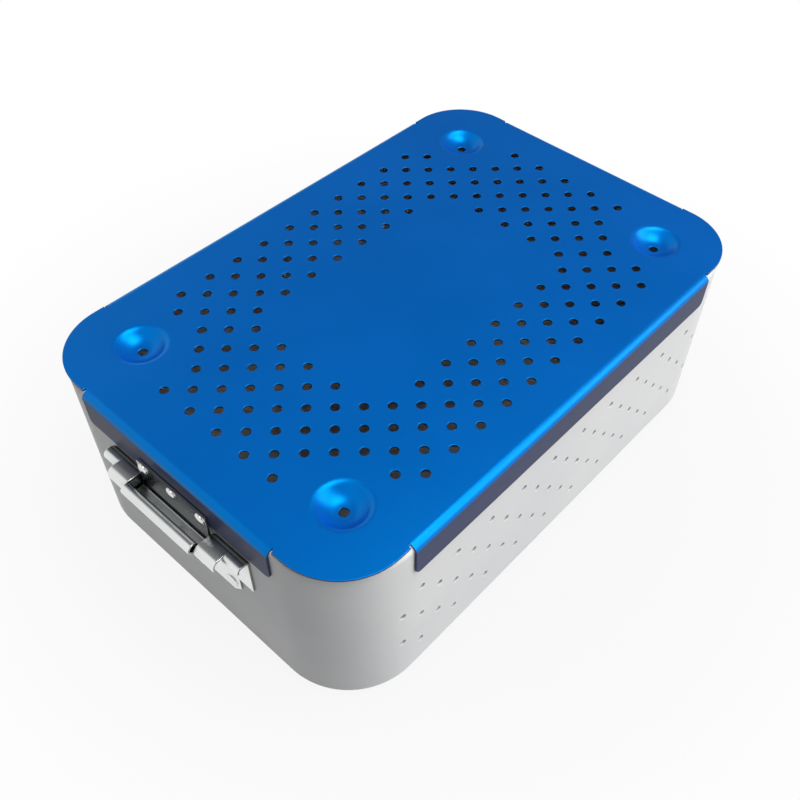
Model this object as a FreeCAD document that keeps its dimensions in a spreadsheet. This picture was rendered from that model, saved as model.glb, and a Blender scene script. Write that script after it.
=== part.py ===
import FreeCAD, Part
import math
import os
import Sketcher

os.makedirs("parts", exist_ok=True)
doc = FreeCAD.newDocument("SterilizationContainer")

# Driving dimensions in millimetres, one alias each
DIMENSIONS = [
    ("box_length", 300.0, "length over the lid"),
    ("box_width", 203.0, "width over the lid"),
    ("box_height", 100.0, "lid top down to the lower edge of the wall"),
    ("corner_radius", 40.0, "plan radius of the lid corners"),
    ("lid_sheet", 1.0, "sheet thickness of the lid"),
    ("lid_fit", 0.25, "gap between lid skirt and wall"),
    ("lid_bend", 3.0, "outer radius of the lid bends"),
    ("corner_setback", 0.4, "plate corners set back from the skirt faces"),
    ("skirt_drop", 19.0, "lid top down to the skirt edge"),
    ("skirt_corner", 3.0, "rounding of the lower skirt corners"),
    ("relief_width", 1.2, "width of the bend relief notch"),
    ("relief_depth", 0.4, "depth of the relief notch past the bend line"),
    ("lid_hole_pitch", 12.5, "hole pitch of the lid, along the diagonal"),
    ("lid_hole_bore", 4.5, "hole size in the lid"),
    ("hole_margin", 20.0, "lid edge to the field of holes, at least"),
    ("plain_half_length", 66.0, "half length of the plain middle of the lid"),
    ("plain_half_width", 40.0, "half width of the plain middle of the lid"),
    ("dimple_margin", 11.0, "dimple rim to the nearest hole, at least"),
    ("dimple_inset", 36.5, "lid edge to dimple centre along the length"),
    ("dimple_side_inset", 35.5, "lid edge to dimple centre along the width"),
    ("dimple_radius", 13.0, "rim radius of the stacking dimple"),
    ("dimple_depth", 5.0, "depth of the stacking dimple"),
    ("drain_bore", 4.6, "drain hole in each dimple and foot"),
    ("wall_sheet", 1.2, "sheet thickness of wall and floor"),
    ("rim_bevel", 2.5, "bevel between wall and top rim"),
    ("rim_width", 8.0, "top rim, turned inwards"),
    ("flange_width", 9.0, "bottom flange, turned inwards"),
    ("vent_step", 11.5, "half pitch of the wall perforation"),
    ("vent_bore", 3.2, "hole size in the long walls"),
    ("vent_top", 36.0, "lid top down to the first row of wall holes"),
    ("vent_rows", 5.0, "rows of wall holes"),
    ("floor_fit", 0.3, "gap between floor edge and wall"),
    ("foot_height", 4.5, "foot below the lower edge of the wall"),
    ("foot_radius", 12.0, "rim radius of the pressed foot"),
    ("bracket_sheet", 1.2, "sheet thickness of the latch bracket"),
    ("bracket_bend", 2.0, "bevel at the bracket bends"),
    ("shelf_gap", 4.0, "skirt edge down to the bracket shelf"),
    ("shelf_depth", 11.75, "wall out to the bracket lip"),
    ("shelf_half", 36.0, "half length of the deep shelf"),
    ("lip_drop", 5.0, "height of the bracket lip"),
    ("tab_depth", 6.75, "wall out to the tab lip"),
    ("tab_half", 45.5, "half length over the tabs"),
    ("tab_lip", 3.5, "height of the tab lip"),
    ("tab_plate_drop", 46.0, "lid top down to the plate edge below the tabs"),
    ("plate_drop", 60.0, "lid top down to the plate edge"),
    ("plate_corner", 5.0, "cut corners of the plate"),
    ("window_drop", 43.0, "lid top down to the lower edge of the window"),
    ("cheek_radius", 4.0, "cheek of the bracket around the pin"),
    ("pin_reach", 5.75, "wall out to the pin centre"),
    ("pin_drop", 35.0, "lid top down to the pin centre"),
    ("pin_bore", 3.0, "hinge pin diameter"),
    ("pin_clearance", 0.06, "radial running clearance at the pin"),
    ("pin_head", 5.0, "diameter of the pin heads"),
    ("pin_head_height", 0.9, "height of the pin heads"),
    ("rivet_bore", 4.0, "rivet shank diameter"),
    ("rivet_clearance", 0.05, "radial clearance of the rivet shank"),
    ("rivet_head", 7.0, "rivet head diameter"),
    ("rivet_head_height", 1.4, "rivet head height"),
    ("rivet_spread", 30.5, "rivet centre from the middle of the latch"),
    ("rivet_drop", 38.5, "lid top down to the upper rivets"),
    ("rivet_rise", 15.0, "spacing between the rivet rows"),
    ("lever_sheet", 1.2, "sheet thickness of the lever"),
    ("lever_bend", 2.0, "bevel at the lever bends"),
    ("lever_half", 23.0, "half length of the lever"),
    ("lever_side_gap", 0.7, "gap between lever cheek and bracket cheek"),
    ("leaf_gap", 0.3, "gap between lever leaf and lid skirt"),
    ("leaf_drop", 12.5, "lid top down to the upper edge of the leaf"),
    ("web_drop", 31.0, "lid top down to the underside of the lever web"),
    ("web_depth", 9.2, "lever depth, leaf to grip"),
    ("grip_drop", 24.2, "lid top down to the centre of the rolled grip"),
    ("grip_radius", 2.2, "outer radius of the rolled grip"),
    ("knuckle_radius", 3.6, "lever cheek around the pin"),
    ("stud_bore", 3.0, "locking stud diameter"),
    ("stud_head", 6.4, "stud head diameter"),
    ("stud_head_height", 1.3, "stud head height"),
    ("stud_spacing", 19.0, "stud to stud"),
    ("stud_drop", 16.0, "lid top down to the stud centres"),
    ("stud_reach", 0.8, "stud entering the skirt"),
    ("stud_clearance", 0.35, "radial clearance of the stud in the skirt"),
    ("spring_wire", 1.0, "spring wire across its flats"),
    ("spring_gap", 0.45, "gap between spring coil and pin"),
    ("spring_turns", 4.33, "turns of the spring coil"),
    ("spring_pitch", 1.3, "advance of the spring coil per turn"),
    ("spring_wall_leg", 6.4, "reach of the wall leg below the pin centre"),
    ("spring_web_leg", 3.7, "reach of the web leg beyond the pin centre"),
    ("seat_gap", 0.3, "gap at which a spring leg rests on its seat"),
]

# Corner counts of what repeats: small holes, pressed cups, fasteners, pins and a turn of the spring
HOLE_SIDES = 6
CUP_SIDES = 8
FASTENER_SIDES = 8
PIN_SIDES = 12
COIL_STEPS = 6
WIRE_SIDES = 4

sheet = doc.addObject("Spreadsheet::Sheet", "Sizes")
for row, (alias, value, note) in enumerate(DIMENSIONS, start=1):
    sheet.set("A%d" % row, alias)
    sheet.set("B%d" % row, str(value))
    sheet.setAlias("B%d" % row, alias)
    sheet.set("C%d" % row, note)
doc.recompute()


class Size:
    """A length together with the expression it is worked out from."""

    def __init__(self, value, text):
        self.value = value
        self.text = text

    def __add__(self, other):
        other = as_size(other)
        return Size(self.value + other.value, "(%s + %s)" % (self.text, other.text))

    def __sub__(self, other):
        other = as_size(other)
        return Size(self.value - other.value, "(%s - %s)" % (self.text, other.text))

    def __mul__(self, factor):
        factor = as_size(factor)
        return Size(self.value * factor.value, "(%s * %s)" % (self.text, factor.text))

    def __truediv__(self, divisor):
        divisor = as_size(divisor)
        return Size(self.value / divisor.value, "(%s / %s)" % (self.text, divisor.text))

    def __neg__(self):
        return Size(-self.value, "(0 - %s)" % self.text)


def as_size(value):
    """A plain number as a Size; a Size stays as it is."""
    if isinstance(value, Size):
        return value
    return Size(float(value), "(%r)" % float(value))


def cell(alias):
    """The Size held by one cell of the sheet."""
    return Size(float(sheet.get(alias)), "Sizes.%s" % alias)


ZERO = as_size(0.0)

# Levels and faces that several pieces share
half_length = cell("box_length") / 2
half_width = cell("box_width") / 2
wall_floor_level = cell("foot_height")
lid_top = wall_floor_level + cell("box_height")
lid_under = lid_top - cell("lid_sheet")
skirt_edge = lid_top - cell("skirt_drop")
skirt_gap = cell("lid_sheet") + cell("lid_fit")
corner_x = half_length - cell("corner_radius")
corner_y = half_width - cell("corner_radius")
bend_half_x = corner_x - cell("relief_width")
bend_half_y = corner_y - cell("relief_width")
wall_x = half_length - skirt_gap
wall_y = half_width - skirt_gap
wall_radius = cell("corner_radius") - skirt_gap
wall_top = lid_under
floor_under = wall_floor_level + cell("wall_sheet")
floor_top = floor_under + cell("wall_sheet")
dimple_x = half_length - cell("dimple_inset")
dimple_y = half_width - cell("dimple_side_inset")
pin_x = wall_x + cell("pin_reach")
pin_z = lid_top - cell("pin_drop")
pin_radius = cell("pin_bore") / 2
pin_hole_flats = (pin_radius + cell("pin_clearance")) / math.cos(math.pi / FASTENER_SIDES)
plate_foot = lid_top - cell("plate_drop")
window_half = cell("lever_half") + cell("lever_side_gap")
cheek_end = window_half + cell("bracket_sheet")
leaf_inner = half_length + cell("leaf_gap")
leaf_outer = leaf_inner + cell("lever_sheet")
shelf_top = skirt_edge - cell("shelf_gap")
web_under = lid_top - cell("web_drop")
stud_z = lid_top - cell("stud_drop")
CORNERS = [(1, 1), (-1, 1), (-1, -1), (1, -1)]


def bind(target, name, size):
    """Ties one property to the sheet."""
    target.setExpression(name, as_size(size).text)


def origin_plane(body, role):
    """One of the body's own origin planes."""
    return next(item for item in body.Origin.OriginFeatures if item.Role == role)


def new_body(label):
    body = doc.addObject("PartDesign::Body", label)
    body.Label = label
    return body


def new_sketch(body, name, role, offset=None):
    """A sketch on an origin plane, moved by offset in the plane's own axes."""
    sketch = body.newObject("Sketcher::SketchObject", name)
    sketch.AttachmentSupport = (origin_plane(body, role), "")
    sketch.MapMode = "FlatFace"
    for axis, size in zip("xyz", offset or ()):
        bind(sketch, "AttachmentOffset.Base.%s" % axis, size)
    return sketch


def arc_between(start, end, radius, turn):
    """An arc under half a turn from start to end: turn 1 is anticlockwise, -1 clockwise."""
    middle = (start + end) * 0.5
    chord = end - start
    rise = math.sqrt(max(radius * radius - chord.Length * chord.Length / 4, 0.0))
    side = FreeCAD.Vector(-chord.y, chord.x, 0).normalize() * rise * turn
    centre = middle + side
    first, last = (start, end) if turn > 0 else (end, start)
    angles = [math.atan2(p.y - centre.y, p.x - centre.x) for p in (first, last)]
    if angles[1] < angles[0]:
        angles[1] += 2 * math.pi
    circle = Part.Circle(centre, FreeCAD.Vector(0, 0, 1), radius)
    return Part.ArcOfCircle(circle, angles[0], angles[1])


def draw_outline(sketch, outline):
    """Draws a closed outline and ties every corner and radius to the sheet.

    Each entry is (x, y) for a straight side to the next corner,
    or (x, y, radius, turn) for an arc to the next corner.
    """
    points = [FreeCAD.Vector(entry[0].value, entry[1].value, 0) for entry in outline]
    starts, ends, radii = [], [], []
    for index, entry in enumerate(outline):
        start = points[index]
        end = points[(index + 1) % len(points)]
        if len(entry) == 2:
            number = sketch.addGeometry(Part.LineSegment(start, end), False)
            starts.append((number, 1))
            ends.append((number, 2))
        else:
            radius, turn = entry[2], entry[3]
            number = sketch.addGeometry(arc_between(start, end, radius.value, turn), False)
            starts.append((number, 1 if turn > 0 else 2))
            ends.append((number, 2 if turn > 0 else 1))
            radii.append((number, radius))
    for index, start in enumerate(starts):
        previous = ends[index - 1]
        sketch.addConstraint(Sketcher.Constraint("Coincident", *previous, *start))
    for start, entry in zip(starts, outline):
        for kind, size in (("DistanceX", entry[0]), ("DistanceY", entry[1])):
            number = sketch.addConstraint(Sketcher.Constraint(kind, *start, size.value))
            bind(sketch, "Constraints[%d]" % number, size)
    for number, radius in radii:
        number = sketch.addConstraint(Sketcher.Constraint("Radius", number, radius.value))
        bind(sketch, "Constraints[%d]" % number, radius)


def polygon_points(x, y, radius, sides):
    """Corners of a regular polygon with a flat side facing each axis."""
    angles = [2 * math.pi * (step + 0.5) / sides for step in range(sides)]
    return [FreeCAD.Vector(x + radius * math.cos(a), y + radius * math.sin(a), 0) for a in angles]


def draw_polygons(sketch, centres, radius, sides):
    """Regular polygons at plain centres, as many as the pattern has."""
    for x, y in centres:
        points = polygon_points(x, y, radius, sides)
        pairs = zip(points, points[1:] + points[:1])
        sketch.addGeometry([Part.LineSegment(a, b) for a, b in pairs], False)


def draw_bound_polygon(sketch, x, y, radius, sides):
    """A regular polygon whose centre and radius are tied to the sheet."""
    points = polygon_points(x.value, y.value, radius.value, sides)
    lines = [Part.LineSegment(a, b) for a, b in zip(points, points[1:] + points[:1])]
    first = sketch.addGeometry(lines, False)[0]
    centre = FreeCAD.Vector(x.value, y.value, 0)
    guide = Part.Circle(centre, FreeCAD.Vector(0, 0, 1), radius.value)
    circle = sketch.addGeometry(guide, True)
    constraints = []
    for side in range(sides):
        following = first + (side + 1) % sides
        constraints.append(Sketcher.Constraint("Coincident", first + side, 2, following, 1))
        constraints.append(Sketcher.Constraint("PointOnObject", first + side, 1, circle))
    for side in range(1, sides):
        constraints.append(Sketcher.Constraint("Equal", first, first + side))
    constraints.append(Sketcher.Constraint("Vertical", first + sides - 1))
    sketch.addConstraint(constraints)
    for kind, size in (("DistanceX", x), ("DistanceY", y)):
        number = sketch.addConstraint(Sketcher.Constraint(kind, circle, 3, size.value))
        bind(sketch, "Constraints[%d]" % number, size)
    number = sketch.addConstraint(Sketcher.Constraint("Radius", circle, radius.value))
    bind(sketch, "Constraints[%d]" % number, radius)


def loose_radius(bore, clearance):
    """Radius of the hole that a shank of this bore passes with this clearance."""
    return cell(bore) / 2 + cell(clearance)


def pad(body, name, sketch, length, midplane=False, reverse=False):
    feature = body.newObject("PartDesign::Pad", name)
    feature.Profile = sketch
    bind(feature, "Length", length)
    feature.Midplane = midplane
    feature.Reversed = reverse
    body.Tip = feature
    return feature


def pocket_through(body, name, sketch):
    """A cut right through the body, both ways from its sketch."""
    feature = body.newObject("PartDesign::Pocket", name)
    feature.Profile = sketch
    feature.Type = "ThroughAll"
    feature.Midplane = True
    body.Tip = feature
    return feature


def mirror(body, name, features, role):
    """Copies features to the other side of an origin plane."""
    feature = body.newObject("PartDesign::Mirrored", name)
    feature.Originals = features
    feature.MirrorPlane = (origin_plane(body, role), [""])
    body.Tip = feature
    return feature


def hole_tool(name, placement, centres, radius, length, sides=HOLE_SIDES):
    """Prisms for a pattern of holes, centred on their sketch plane."""
    sketch = doc.addObject("Sketcher::SketchObject", name + "_pattern")
    sketch.Placement = placement
    draw_polygons(sketch, centres, radius.value, sides)
    tool = doc.addObject("Part::Extrusion", name)
    tool.Base = sketch
    tool.DirMode = "Normal"
    tool.Symmetric = True
    tool.Solid = True
    bind(tool, "LengthFwd", length)
    return tool


def rounded_rectangle(sketch, half_x, half_y, radius):
    """A rectangle about the origin with four equal corner arcs."""
    inner_x = half_x - radius
    inner_y = half_y - radius
    draw_outline(sketch, [
        (-inner_x, -half_y),
        (inner_x, -half_y, radius, 1),
        (half_x, -inner_y),
        (half_x, inner_y, radius, 1),
        (inner_x, half_y),
        (-inner_x, half_y, radius, 1),
        (-half_x, inner_y),
        (-half_x, -inner_y, radius, 1),
    ])


# Pressed cups: stacking dimples in the lid and feet in the floor

# Share of the rim radius and of the depth at each band of a cup, from the rim down
CUP_BANDS = [(1.06, 0.0), (0.70, 0.80), (0.58, 1.0)]


def ringed_solid(rings):
    """A closed solid through rings of equally many corners, flat at both ends."""
    faces = []
    for near, far in zip(rings, rings[1:]):
        for index, corner in enumerate(near):
            following = (index + 1) % len(near)
            quad = [corner, near[following], far[following], far[index]]
            faces.append(Part.Face(Part.makePolygon(quad + quad[:1])))
    for ring in (rings[0], rings[-1]):
        faces.append(Part.Face(Part.makePolygon(ring + ring[:1])))
    solid = Part.Solid(Part.Shell(faces))
    if solid.Volume < 0:
        solid.reverse()
    return solid.removeSplitter()


def cup_solid(x, y, sections):
    """A many-sided upright solid through sections given as (radius, level)."""
    rings = []
    for radius, level in sections:
        points = polygon_points(x, y, radius, CUP_SIDES)
        rings.append([FreeCAD.Vector(p.x, p.y, level) for p in points])
    return ringed_solid(rings)


def cups(name, centre_x, centre_y, top, rim_radius, depth, metal):
    """The outsides and the hollows, drain holes included, of four pressed cups."""
    drain = cell("drain_bore").value / 2
    shell = [(rim_radius * reach + metal, top - metal - depth * sink) for reach, sink in CUP_BANDS]
    hollow = [(rim_radius * reach, top - depth * sink) for reach, sink in CUP_BANDS]
    hollow += [(drain, top - depth), (drain, top - depth - metal * 2)]
    made = []
    for suffix, sections in (("shells", shell), ("hollows", hollow)):
        feature = doc.addObject("Part::Feature", "%s_%s" % (name, suffix))
        solids = [cup_solid(centre_x * sx, centre_y * sy, sections) for sx, sy in CORNERS]
        feature.Shape = Part.makeCompound(solids)
        made.append(feature)
    return made


def join(name, first, second):
    feature = doc.addObject("Part::Fuse", name)
    feature.Base = first
    feature.Tool = second
    return feature


def cut(name, base, tool):
    feature = doc.addObject("Part::Cut", name)
    feature.Base = base
    feature.Tool = tool
    return feature


def inner_bevel(bevel, metal):
    """The bevel inside a bent sheet that leaves its thickness the same."""
    return bevel - metal * (2 - math.sqrt(2))


def facing(axis, x, y, z):
    """The placement of a pattern whose normal runs along X, Y or Z."""
    turns = {
        "X": FreeCAD.Rotation(FreeCAD.Vector(1, 1, 1), 120),
        "Y": FreeCAD.Rotation(FreeCAD.Vector(1, 0, 0), 90),
        "Z": FreeCAD.Rotation(),
    }
    return FreeCAD.Placement(FreeCAD.Vector(x, y, z), turns[axis])


# Lid: one folded sheet with four skirts, stacking dimples and a field of holes


def lid_hole_centres():
    """A diagonal lattice that keeps clear of the edges, the dimples and the plain middle."""
    half_pitch = cell("lid_hole_pitch").value / math.sqrt(2)
    margin = cell("hole_margin").value
    columns = int((half_length.value - margin) / half_pitch)
    rows = int((half_width.value - margin) / half_pitch)
    free = cell("dimple_radius").value + cell("dimple_margin").value
    centres = []
    for row_number in range(-rows, rows + 1):
        for column in range(-columns, columns + 1):
            x, y = column * half_pitch, row_number * half_pitch
            beyond_length = abs(x) > cell("plain_half_length").value
            beyond_width = abs(y) > cell("plain_half_width").value
            from_dimple = math.hypot(abs(x) - dimple_x.value, abs(y) - dimple_y.value)
            staggered = (row_number + column) % 2 == 0
            if staggered and from_dimple > free and (beyond_length or beyond_width):
                centres.append((x, y))
    return centres


def lid_outline():
    """The plate: corner arcs, relief notches beside them and the bend lines between."""
    bend_x = half_length - cell("lid_bend")
    bend_y = half_width - cell("lid_bend")
    notch_x = bend_x - cell("relief_depth")
    notch_y = bend_y - cell("relief_depth")
    rounding = cell("corner_radius") - cell("corner_setback")
    quarter = [
        (bend_x, bend_half_y),
        (notch_x, bend_half_y),
        (notch_x, corner_y),
        (corner_x + rounding, corner_y, rounding, 1),
        (corner_x, corner_y + rounding),
        (corner_x, notch_y),
        (bend_half_x, notch_y),
        (bend_half_x, bend_y),
    ]
    outline = []
    for sx, sy in CORNERS:
        points = [(p[0] if sx > 0 else -p[0], p[1] if sy > 0 else -p[1]) for p in quarter]
        arcs = [p[2:] for p in quarter]
        if sx * sy < 0:
            points.reverse()
        outline += [point + arc for point, arc in zip(points, arcs)]
    return outline


def skirt_outline(bend_half):
    """Front view of a skirt: straight ends with rounded lower corners."""
    round_off = cell("skirt_corner")
    bend_level = lid_top - cell("lid_bend")
    return [
        (-bend_half, bend_level),
        (-bend_half, skirt_edge + round_off, round_off, 1),
        (-bend_half + round_off, skirt_edge),
        (bend_half - round_off, skirt_edge, round_off, 1),
        (bend_half, skirt_edge + round_off),
        (bend_half, bend_level),
    ]


def bend_outline(half_span):
    """Section of the bend between the plate and a skirt whose outside is at half_span."""
    inner_radius = cell("lid_bend") - cell("lid_sheet")
    start = half_span - cell("lid_bend")
    level = lid_top - cell("lid_bend")
    return [
        (start, lid_top, cell("lid_bend"), -1),
        (half_span, level),
        (half_span - cell("lid_sheet"), level, inner_radius, 1),
        (start, lid_under),
    ]


def build_lid():
    body = new_body("lid_blank")
    plate = new_sketch(body, "plate_outline", "XY_Plane", (ZERO, ZERO, lid_under))
    draw_outline(plate, lid_outline())
    pad(body, "plate", plate, cell("lid_sheet"))

    section = new_sketch(body, "long_bend_section", "YZ_Plane")
    draw_outline(section, bend_outline(half_width))
    long_bend = pad(body, "long_bend", section, bend_half_x * 2, midplane=True)
    front = new_sketch(body, "long_skirt_front", "XZ_Plane", (ZERO, ZERO, -half_width))
    draw_outline(front, skirt_outline(bend_half_x))
    long_skirt = pad(body, "long_skirt", front, cell("lid_sheet"))
    mirror(body, "long_side_pair", [long_bend, long_skirt], "XZ_Plane")

    section = new_sketch(body, "short_bend_section", "XZ_Plane")
    draw_outline(section, bend_outline(half_length))
    short_bend = pad(body, "short_bend", section, bend_half_y * 2, midplane=True)
    front = new_sketch(body, "short_skirt_front", "YZ_Plane", (ZERO, ZERO, half_length))
    draw_outline(front, skirt_outline(bend_half_y))
    short_skirt = pad(body, "short_skirt", front, cell("lid_sheet"), reverse=True)
    mirror(body, "short_side_pair", [short_bend, short_skirt], "YZ_Plane")

    shells, hollows = cups(
        "lid_dimples",
        dimple_x.value,
        dimple_y.value,
        lid_top.value,
        cell("dimple_radius").value,
        cell("dimple_depth").value,
        cell("lid_sheet").value,
    )
    formed = cut("lid_formed", join("lid_with_cups", body, shells), hollows)
    holes = hole_tool(
        "lid_hole_prisms",
        facing("Z", 0, 0, lid_under.value),
        lid_hole_centres(),
        cell("lid_hole_bore") / 2,
        cell("lid_sheet") * 4,
    )
    perforated = cut("lid_perforated", formed, holes)
    spacing = cell("stud_spacing").value
    locks = hole_tool(
        "lid_lock_holes",
        facing("X", 0, 0, stud_z.value),
        [(-spacing, 0), (0, 0), (spacing, 0)],
        loose_radius("stud_bore", "stud_clearance"),
        half_length * 2 + cell("lid_sheet") * 4,
        FASTENER_SIDES,
    )
    lid = cut("lid_finished", perforated, locks)
    lid.Label = "lid"
    return lid


# Base: a rolled band with turned rims, and a welded floor with pressed feet


def wall_section():
    """Section of the band: bottom flange, wall and top rim, all one sheet."""
    metal = cell("wall_sheet")
    bevel = cell("rim_bevel")
    inside = inner_bevel(bevel, metal)
    inner = wall_x - metal
    rim_end = wall_x - cell("rim_width")
    flange_end = wall_x - cell("flange_width")
    return [
        (flange_end, wall_floor_level),
        (wall_x, wall_floor_level),
        (wall_x, wall_top - bevel),
        (wall_x - bevel, wall_top),
        (rim_end, wall_top),
        (rim_end, wall_top - metal),
        (inner - inside, wall_top - metal),
        (inner, wall_top - metal - inside),
        (inner, floor_under),
        (flange_end, floor_under),
    ]


def wall_hole_centres():
    """Staggered rows of wall holes, as many as fit between the corner arcs."""
    step = cell("vent_step").value
    reach = half_length.value - cell("corner_radius").value + step / 2
    columns = int(reach / step)
    top = lid_top.value - cell("vent_top").value
    centres = []
    for row_number in range(int(cell("vent_rows").value)):
        for column in range(-columns, columns + 1):
            if (column + row_number) % 2:
                centres.append((column * step, top - row_number * step))
    return centres


def build_wall():
    body = new_body("wall_band")
    path = new_sketch(body, "band_path", "XY_Plane")
    rounded_rectangle(path, wall_x, wall_y, wall_radius)
    section = new_sketch(body, "band_section", "XZ_Plane")
    draw_outline(section, wall_section())
    band = body.newObject("PartDesign::AdditivePipe", "band")
    band.Profile = section
    band.Spine = path
    body.Tip = band
    vents = hole_tool(
        "wall_vent_prisms",
        facing("Y", 0, 0, 0),
        wall_hole_centres(),
        cell("vent_bore") / 2,
        half_width * 2,
    )
    vented = cut("wall_vented", body, vents)
    spread = cell("rivet_spread").value
    upper = lid_top.value - cell("rivet_drop").value
    lower = upper - cell("rivet_rise").value
    rivet_holes = hole_tool(
        "wall_rivet_prisms",
        facing("X", 0, 0, 0),
        [(y, z) for y in (-spread, spread) for z in (upper, lower)],
        loose_radius("rivet_bore", "rivet_clearance"),
        half_length * 2,
        FASTENER_SIDES,
    )
    wall = cut("wall_finished", vented, rivet_holes)
    wall.Label = "base_wall"
    return wall


def build_floor():
    body = new_body("floor_blank")
    gap = cell("wall_sheet") + cell("floor_fit")
    outline = new_sketch(body, "floor_outline", "XY_Plane", (ZERO, ZERO, floor_under))
    rounded_rectangle(outline, wall_x - gap, wall_y - gap, wall_radius - gap)
    pad(body, "floor_plate", outline, cell("wall_sheet"))
    shells, hollows = cups(
        "floor_feet",
        dimple_x.value,
        dimple_y.value,
        floor_top.value,
        cell("foot_radius").value,
        floor_under.value,
        cell("wall_sheet").value,
    )
    floor = cut("floor_finished", join("floor_with_feet", body, shells), hollows)
    floor.Label = "base_floor"
    return floor


# Latch: everything is drawn on the +X side; the other latch is turned half round


def hood_section(depth, lip, foot):
    """Back plate, shelf and lip of the bracket as one bent sheet."""
    metal = cell("bracket_sheet")
    bevel = cell("bracket_bend")
    inside = inner_bevel(bevel, metal)
    under = shelf_top - metal
    end = wall_x + depth
    return [
        (wall_x, foot),
        (wall_x + metal, foot),
        (wall_x + metal, under - inside),
        (wall_x + metal + inside, under),
        (end - metal - inside, under),
        (end - metal, under - inside),
        (end - metal, shelf_top - lip),
        (end, shelf_top - lip),
        (end, shelf_top - bevel),
        (end - bevel, shelf_top),
        (wall_x + bevel, shelf_top),
        (wall_x, shelf_top - bevel),
    ]


def cheek_outline():
    """Side cheek below the shelf, rounded under the pin."""
    metal = cell("bracket_sheet")
    radius = cell("cheek_radius")
    end = wall_x + cell("shelf_depth") - metal / 2
    return [
        (wall_x + metal / 2, pin_z - radius),
        (pin_x, pin_z - radius, radius, 1),
        (pin_x + radius, pin_z),
        (end, shelf_top - cell("lip_drop")),
        (end, shelf_top - metal / 2),
        (wall_x + metal / 2, shelf_top - metal / 2),
    ]


def build_bracket(label):
    body = new_body(label)
    section = new_sketch(body, label + "_hood_section", "XZ_Plane")
    draw_outline(section, hood_section(cell("shelf_depth"), cell("lip_drop"), plate_foot))
    pad(body, label + "_hood", section, cell("shelf_half") * 2, midplane=True)
    section = new_sketch(
        body, label + "_tab_section", "XZ_Plane", (ZERO, ZERO, cell("shelf_half"))
    )
    tab_foot = lid_top - cell("tab_plate_drop")
    draw_outline(section, hood_section(cell("tab_depth"), cell("tab_lip"), tab_foot))
    tab_pad = pad(body, label + "_tab", section, cell("tab_half") - cell("shelf_half"))
    mirror(body, label + "_tab_pair", [tab_pad], "XZ_Plane")

    window = new_sketch(body, label + "_window_outline", "YZ_Plane")
    window_bottom = lid_top - cell("window_drop")
    draw_outline(window, [
        (-window_half, window_bottom),
        (window_half, window_bottom),
        (window_half, lid_top),
        (-window_half, lid_top),
    ])
    pocket_through(body, label + "_window", window)

    corners = new_sketch(body, label + "_plate_corners", "YZ_Plane")
    reach = cell("shelf_half")
    size = cell("plate_corner")
    draw_outline(corners, [
        (reach - size, plate_foot),
        (reach, plate_foot),
        (reach, plate_foot + size),
    ])
    draw_outline(corners, [
        (-reach, plate_foot),
        (-reach + size, plate_foot),
        (-reach, plate_foot + size),
    ])
    pocket_through(body, label + "_cut_corners", corners)

    cheek = new_sketch(body, label + "_cheek_outline", "XZ_Plane", (ZERO, ZERO, window_half))
    draw_outline(cheek, cheek_outline())
    draw_bound_polygon(cheek, pin_x, pin_z, pin_hole_flats, FASTENER_SIDES)
    cheek_pad = pad(body, label + "_cheek", cheek, cell("bracket_sheet"))
    mirror(body, label + "_cheek_pair", [cheek_pad], "XZ_Plane")

    holes = new_sketch(body, label + "_rivet_holes", "YZ_Plane")
    for y, z in rivet_centres():
        draw_bound_polygon(holes, y, z, loose_radius("rivet_bore", "rivet_clearance"), FASTENER_SIDES)
    pocket_through(body, label + "_rivet_bores", holes)
    return body


def rivet_centres():
    """Two rivets each side of the window, one above the other."""
    upper = lid_top - cell("rivet_drop")
    lower = upper - cell("rivet_rise")
    spread = cell("rivet_spread")
    return [(y, z) for y in (-spread, spread) for z in (upper, lower)]


def turned_along_x(y, z, sections):
    """A many-sided turned piece along X, given as (radius, x) from one end to the other."""
    rings = []
    for radius, x in sections:
        corners = polygon_points(y, z, radius, FASTENER_SIDES)
        rings.append([FreeCAD.Vector(x, corner.x, corner.y) for corner in corners])
    return ringed_solid(rings)


def domed_head(radius, seat, height):
    """Sections of a low domed head that stands on its seat, outwards."""
    bands = [(1.0, 0.0), (0.6, 1.0)]
    return [(radius * reach, seat + height * rise) for reach, rise in bands]


def group(label, solids):
    feature = doc.addObject("Part::Feature", label)
    feature.Shape = Part.makeCompound(solids)
    feature.Label = label
    return feature


def build_rivets(label):
    """Solid rivets: flat head inside the wall, shank, domed head on the bracket."""
    shank = cell("rivet_bore").value / 2
    head = cell("rivet_head").value / 2
    height = cell("rivet_head_height").value
    inside = (wall_x - cell("wall_sheet")).value
    outside = (wall_x + cell("bracket_sheet")).value
    sections = [(head, inside - height / 2), (head, inside), (shank, inside), (shank, outside)]
    sections += domed_head(head, outside, height)
    return group(label, [turned_along_x(y.value, z.value, sections) for y, z in rivet_centres()])


def build_pin(label):
    """Hinge pin with a head closed against each bracket cheek."""
    body = new_body(label)
    shank = new_sketch(body, label + "_shank_section", "XZ_Plane")
    draw_bound_polygon(shank, pin_x, pin_z, pin_radius, PIN_SIDES)
    pad(body, label + "_shank", shank, cheek_end * 2, midplane=True)
    head = new_sketch(body, label + "_head_section", "XZ_Plane", (ZERO, ZERO, cheek_end))
    draw_bound_polygon(head, pin_x, pin_z, cell("pin_head") / 2, FASTENER_SIDES)
    head_pad = pad(body, label + "_head", head, cell("pin_head_height"))
    mirror(body, label + "_head_pair", [head_pad], "XZ_Plane")
    return body


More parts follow.
